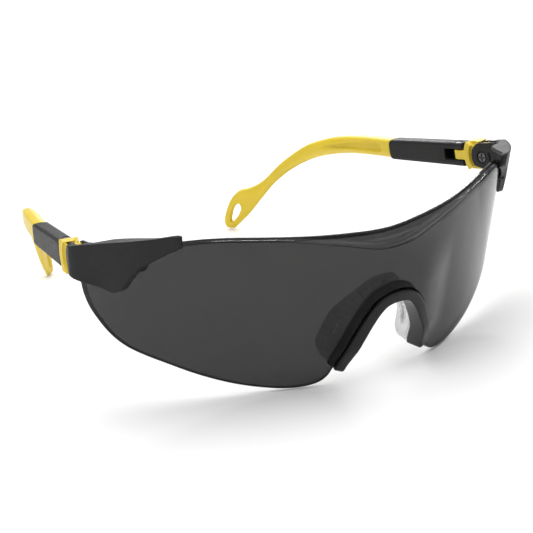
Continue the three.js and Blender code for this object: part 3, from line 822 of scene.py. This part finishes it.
def make_blade():
    """Blade of the ear piece: flute and ridge on its inboard face, bevelled below, and the lanyard loop."""
    upper, lower = tip_edges()
    hole = lanyard_hole()
    blade = side_plate("tip", np.vstack([upper, lower[1:]]), -TIP_BLANK, TIP_BLANK)
    blade = combined(blade, [side_plate("hole", hole, -2 * TIP_BLANK, 2 * TIP_BLANK)], "DIFFERENCE")
    softened(blade, 0.24, 2)
    hole = np.vstack([hole, hole[:1]])

    def section(p):
        side = np.clip(p[:, 0] / TIP_BLANK, -1, 1)
        y, z = p[:, 1], p[:, 2]
        to_top, to_bottom, to_hole = (distance_to(p[:, 1:], line) for line in (upper, lower, hole))
        to_edge = np.minimum(np.minimum(to_top, to_bottom), to_hole)
        half = tip_thickness(y) / 2 * np.sqrt(1 - (1 - np.clip(to_edge / TIP_EDGE, 0, 1)) ** 2)
        bevel = 0.62 + 0.38 * smooth(to_bottom, 0.2, 2.2)
        panel = PANEL_DEPTH * smooth(y, 78, 84) * smooth(to_top, 0.5, 1.0) * smooth(to_hole, 0.9, 1.4)
        bead = BEAD_HEIGHT * smooth(y, 60, 74) * np.exp(-((to_top - 0.45) / 0.22) ** 2)
        inner = -half * bevel * crown(y, to_top, to_bottom) + flute_depth(y, z) + panel - bead
        outer = half * (0.8 + 0.2 * smooth(to_bottom, 0.2, 1.6)) - panel
        x = np.where(side < 0, -side * inner, side * outer)
        return bent(np.column_stack([x, y - seam_bow(y, z), z]))

    return reshaped(blade, section)


def make_slider():
    """Flat slider inside the sleeve, with notches for the spring in one side."""
    slider = side_plate("slider", rectangle(SLIDER_FRONT, TIP_START + 2, -2, 2), -1, 1)
    notches = []
    for i in range(NOTCHES):
        circle = arc(NOTCH_FIRST - NOTCH_PITCH * i, NOTCH_X, NOTCH_RADIUS, 0, 2 * math.pi)[:-1]
        notches.append(prism("notch", circle, -4, 4, lambda y, x, z: (x, y, z)))
    slider = combined(slider, notches, "DIFFERENCE")
    bevel = slider.modifiers.new("bevel", "BEVEL")
    bevel.width = 0.2
    bevel.segments = 2
    return baked(slider)


def make_tip():
    """Ear piece: blade and slider in one."""
    fit_pair(joined(make_blade(), make_slider()), "ear_piece", "temple_tip", ("tip_right", "tip_left"),
             TEMPLES, YELLOW)


def make_sleeve():
    """Tapered case with rounded edges."""
    sleeve = softened(copy_of("sleeve_right", TEMPLE["right"]), 0.2, 5)
    reshaped(sleeve, lambda p: np.column_stack([p[:, 0], p[:, 1] - seam_bow(p[:, 1], p[:, 2]), p[:, 2]]))
    fit_pair(sleeve, "sleeve", "sleeve", ("temple_right", "temple_left"), TEMPLES, BLACK)


# ---------------------------------------------------------------- tilt links


def make_link():
    """Tilt link with a grooved crescent collar and a thin plate that runs under the lug's outer skin."""
    outer, inner, half = COLLAR_OUTER, LUG_RADIUS + 0.3, COLLAR_HALF_HEIGHT
    crescent = np.vstack([arc(0, 0, outer, -math.asin(half / outer), math.asin(half / outer), 48),
                          arc(0, 0, inner, math.asin(half / inner), -math.asin(half / inner), 48)])
    collar = side_plate("collar", crescent, *COLLAR_X)
    disc = rounded_polygon([(-2.5, -3.4), (6.5, -4.4), (6.5, 4.4), (-2.5, 3.8)], 1.5)
    plate = side_plate("plate", disc, PLATE_INNER, PLATE_OUTER)
    link = softened(combined(copy_of("tilt_link_right", TEMPLE["right"]), [collar, plate], "UNION"), 0.14, 4)

    def ridged(p):
        radius = np.hypot(p[:, 1], p[:, 2])
        groove = sum(np.exp(-((radius - r) / 0.17) ** 2) for r in COLLAR_GROOVES)
        sink = COLLAR_GROOVE_DEPTH * groove * (p[:, 0] > COLLAR_X[1] - 0.3)
        return np.column_stack([p[:, 0] - sink, p[:, 1], p[:, 2]])

    reshaped(link, ridged)
    fit_pair(link, "tilt_link", "tilt_link", ("link_right", "link_left"), TEMPLES, YELLOW)


# ---------------------------------------------------------------- lugs


def on_temple(x, y):
    """Point in plan given in the temple's own x and y."""
    return (PIVOT[0] + x * math.cos(TOE_IN) - y * math.sin(TOE_IN),
            PIVOT[1] + x * math.sin(TOE_IN) + y * math.cos(TOE_IN))


def beside_lens(offset, distances):
    """Points in plan at distances along the lens, an offset outside it."""
    out = []
    for distance in distances:
        x, y, nx, ny = plan_at(distance)
        out.append((float(x + nx * offset), float(y + ny * offset)))
    return out


def lug_prism(name, outer, inner):
    """Prism between two plan edges, leaning with the lens in front and upright at the pivot."""

    def lean(x, y, z):
        amount = LENS_LEAN * z * (1 - float(smooth(y, 40, 46)))
        return x + 0.8 * amount, y - 0.6 * amount, z

    return prism(name, np.vstack([outer, inner[::-1]]), -BLANK_HEIGHT, BLANK_HEIGHT, lean)


ARM_FRONT = beside_lens(ARM_OUTER, ARM_DISTANCES)[0][1] + 0.1


def in_glasses(obj):
    """Moves a right-hand piece from the temple frame to the glasses frame."""
    obj.data.transform(GLASSES.inverted() @ TEMPLE["right"])
    return obj


def rod(name, radius, x0, x1):
    """Cylinder along the tilt axis."""
    return side_plate(name, arc(0, 0, radius, 0, 2 * math.pi, 40)[:-1], x0, x1)


def lug_end():
    """Round rear end of the lug, from its lower edge up."""
    return arc(0, 0, LUG_RADIUS, -math.asin(LUG_BOTTOM / LUG_RADIUS), math.radians(80))


def lug_wall():
    """Outer wall of the lug, with its arm and lobe."""
    outer = catmull(beside_lens(ARM_OUTER, ARM_DISTANCES) + [(72.6, 43.6)]
                    + [on_temple(2.5, y) for y in (-4, -1, 2, 7)], 10)
    inner = catmull(beside_lens(ARM_INNER, ARM_DISTANCES + (80, 83)), 10)
    inner = np.vstack([inner, [on_temple(EAR_INNER, BLOCK_REAR - 1.4), on_temple(EAR_INNER, BLOCK_REAR),
                               on_temple(0, BLOCK_REAR), on_temple(0, 7)]])
    y, z = PIVOT[1:]
    top = catmull([(y - 2, z + LUG_TOP + 0.2), (44.5, 2.4), (38, 4.4), (30, 6.9), (26.8, 7.9),
                   (ARM_FRONT + 2.4, 8.75), (ARM_FRONT + 1.1, 9.1), (ARM_FRONT + 0.2, 8.5),
                   (ARM_FRONT, 6.8)], 8)
    low = catmull([(ARM_FRONT, 6.8), (ARM_FRONT + 0.7, 5.3), (26.6, 2.3), (30.9, -1.8), (34, -6.3),
                   (36, -9.7), (38.2, -11), (40.5, -10.3), (44, -9.2), (y - 1, z - LUG_BOTTOM)], 8)
    outline = np.vstack([top, low[1:], lug_end() + (y, z)])
    wall = combined(lug_prism("lug", outer, inner), [side_plate("side", outline, 0, 90)], "INTERSECT")
    edge = arc(SKIN_CENTRE, 0, SKIN_RADIUS, math.radians(-75), math.radians(75), 40)
    tools = [rod("pocket", LUG_RADIUS + 0.35, PLATE_INNER - 0.2, PLATE_OUTER + 0.2),
             side_plate("skin_end", np.vstack([edge, [(12, 9), (12, -9)]]), PLATE_INNER - 0.2, 6)]
    return combined(wall, [in_glasses(tool) for tool in tools], "DIFFERENCE")


def lug_roof():
    """Roof over the upper edge of the lens."""
    distances = (61.5,) + ARM_DISTANCES[1:]
    widening = zip((0.8, 0.4, -1.0, -2.2, -3.0, -3.4, -3.4), distances + (80,))
    inner = np.array([beside_lens(offset, (distance,))[0] for offset, distance in widening]
                     + [on_temple(EAR_INNER - 0.4, BLOCK_REAR - 2), on_temple(EAR_INNER - 0.4, BLOCK_REAR)])
    outer = np.array(beside_lens(2.0, distances) + [(70.2, 41.3), (72.6, 45.6)])
    top = catmull([(45, 2.2), (38, 4.5), (30, 6.8), (26.8, 7.8), (ARM_FRONT + 2.4, 8.2)], 8)
    low = catmull([(ARM_FRONT + 2.4, 7.1), (26.8, 6.5), (30, 5.6), (38, 3.2), (45, 0.8)], 8)
    sides = side_plate("sides", np.vstack([top, low]), 0, 90)
    return combined(lug_prism("roof", outer, inner), [sides], "INTERSECT")


def make_lug():
    """Lug: outer wall with arm and lobe, roof, and inboard ear with the screw's seat and two slots."""
    ear_outline = np.vstack([[(-7.6, LUG_TOP), (-7.6, -2.5), (-6.4, -5.2)], lug_end()])
    ear = in_glasses(side_plate("ear", ear_outline, EAR_INNER, EAR_OUTER))
    lug = combined(lug_wall(), [lug_roof(), ear], "UNION")
    slot = np.vstack([arc(0, 0, 3.9, math.radians(150), math.radians(200), 10),
                      arc(0, 0, 3.3, math.radians(200), math.radians(150), 10)])
    tools = [rod("seat", SEAT_RADIUS, EAR_INNER - 2, EAR_OUTER - 0.5),
             rod("bore", BORE_RADIUS, EAR_INNER - 2, 0.2),
             side_plate("curved_slot", slot, EAR_INNER - 2, EAR_INNER + 0.45),
             side_plate("straight_slot", rectangle(-3.9, -3.2, -4.6, -2.2), EAR_INNER - 2, EAR_INNER + 0.7)]
    lug = combined(lug, [in_glasses(tool) for tool in tools], "DIFFERENCE")
    softened(lug, 0.18, 8)
    fit_pair(lug, "lug", "lug", ("front", "front"), FRONT, BLACK)


# ---------------------------------------------------------------- screws and pins


def make_screw():
    """Tilt screw: domed head with a cross slot, sunk in the ear."""
    head = rod("screw", HEAD_RADIUS, EAR_INNER + 0.05, -2.85)
    screw = combined(head, [rod("shank", SHANK_RADIUS, -3, 1.2)], "UNION")
    slots = [side_plate("slot", rectangle(-y, y, -z, z), -5, EAR_INNER + 0.4)
             for y, z in ((1.3, 0.2), (0.2, 1.3))]
    screw = softened(combined(screw, slots, "DIFFERENCE"), 0.08, 3)
    fit_pair(screw, "tilt_screw", "tilt_screw", ("front", "front"), TEMPLES, STEEL)


def make_fine_copy(node, bodies, matrices, voxel, material):
    """Pair of CAD pieces with a finer, softened surface."""
    piece = softened(copy_of(f"{node}_right", matrices[0]), voxel, 2)
    fit_pair(piece, node, node, bodies, matrices, material)


def make_pins():
    """Pins of the fold hinges and of the lens."""
    make_fine_copy("hinge_pin", ("link_right", "link_left"), TEMPLES, 0.1, STEEL)
    make_fine_copy("lens_pin", ("front", "front"), FRONT, 0.12, BLACK)


def dress_hidden_nodes():
    """Materials for the CAD pieces that stay as they are."""
    for side in ("right", "left"):
        for node, material in ((f"tilt_nut_{side}", BRASS), (f"detent_spring_{side}", STEEL)):
            data = frame["nodes"][node].data
            data.materials.clear()
            data.materials.append(material)


# ---------------------------------------------------------------- set

CAMERA_AZIMUTH = -31.049
CAMERA_ELEVATION = 26.031
CAMERA_ROLL = -0.216
CAMERA_PLACE = (-240.656, -331.509, 195.290)   # mm, in the glasses frame
CAMERA_LENS = 112.76

# Soft boxes: name, place, size and power. They face the middle of the glasses. All in metres and watts.
LIGHTS = [("top", (0.1, 0.1, 0.9), (1.6, 1.6), 15), ("left", (-0.9, -0.2, 0.5), (0.5, 0.7), 1.5),
          ("rear", (0.6, 0.95, 0.45), (0.3, 0.1), 3)]
LIGHT_TARGET = (0, 0, 0.03)
WORLD_STRENGTH = 0.42
FLOOR_HALF = 3
FLOOR_HEIGHT = -0.0005


def make_camera():
    """Camera placed and turned in the glasses frame."""
    azimuth, elevation, roll = map(math.radians, (CAMERA_AZIMUTH, CAMERA_ELEVATION, CAMERA_ROLL))
    right = Vector((math.cos(azimuth), math.sin(azimuth), 0))
    back = Vector((math.sin(azimuth) * math.cos(elevation), -math.cos(azimuth) * math.cos(elevation),
                   math.sin(elevation)))
    turn = Matrix((right, back.cross(right), back)).transposed()
    turn = turn @ Matrix.Rotation(roll, 3, "Z")
    data = bpy.data.cameras.new("camera")
    data.lens = CAMERA_LENS
    data.clip_start = 0.01
    camera = bpy.data.objects.new("camera", data)
    pose = GLASSES.to_3x3().normalized() @ turn
    camera.matrix_world = Matrix.Translation(GLASSES @ Vector(CAMERA_PLACE)) @ pose.to_4x4()
    bpy.context.scene.collection.objects.link(camera)
    bpy.context.scene.camera = camera


def make_light(name, place, size, power):
    """Rectangular soft box facing the glasses."""
    data = bpy.data.lights.new(name, "AREA")
    data.shape = "RECTANGLE"
    data.size, data.size_y = size
    data.energy = power
    light = bpy.data.objects.new(name, data)
    light.location = place
    light.rotation_euler = (Vector(place) - Vector(LIGHT_TARGET)).to_track_quat("Z", "Y").to_euler()
    bpy.context.scene.collection.objects.link(light)


def make_set():
    """Pale floor, bright even surroundings and three soft boxes."""
    corners = [(x * FLOOR_HALF, y * FLOOR_HALF, 0) for x, y in ((-1, -1), (1, -1), (1, 1), (-1, 1))]
    floor = new_object("floor", corners, [(0, 1, 2, 3)])
    material, tree, shader = node_material("pale_floor", (0.9, 0.9, 0.9), 0.9)
    tree.links.new(ramp(tree, noise(tree, 3, 2).outputs["Fac"], (0.89, 0.89, 0.89), (0.92, 0.92, 0.92)),
                   shader.inputs["Base Color"])
    floor.data.materials.append(material)
    floor.location.z = FLOOR_HEIGHT
    world = bpy.data.worlds.new("studio")
    world.use_nodes = True
    world.node_tree.nodes["Background"].inputs["Color"].default_value = (1, 1, 1, 1)
    world.node_tree.nodes["Background"].inputs["Strength"].default_value = WORLD_STRENGTH
    bpy.context.scene.world = world
    for light in LIGHTS:
        make_light(*light)
    bpy.context.scene.view_settings.view_transform = "Standard"


make_set()
make_camera()
make_lens()
make_bridge()
make_pad()
make_tip()
make_sleeve()
make_link()
make_lug()
make_screw()
make_pins()
dress_hidden_nodes()
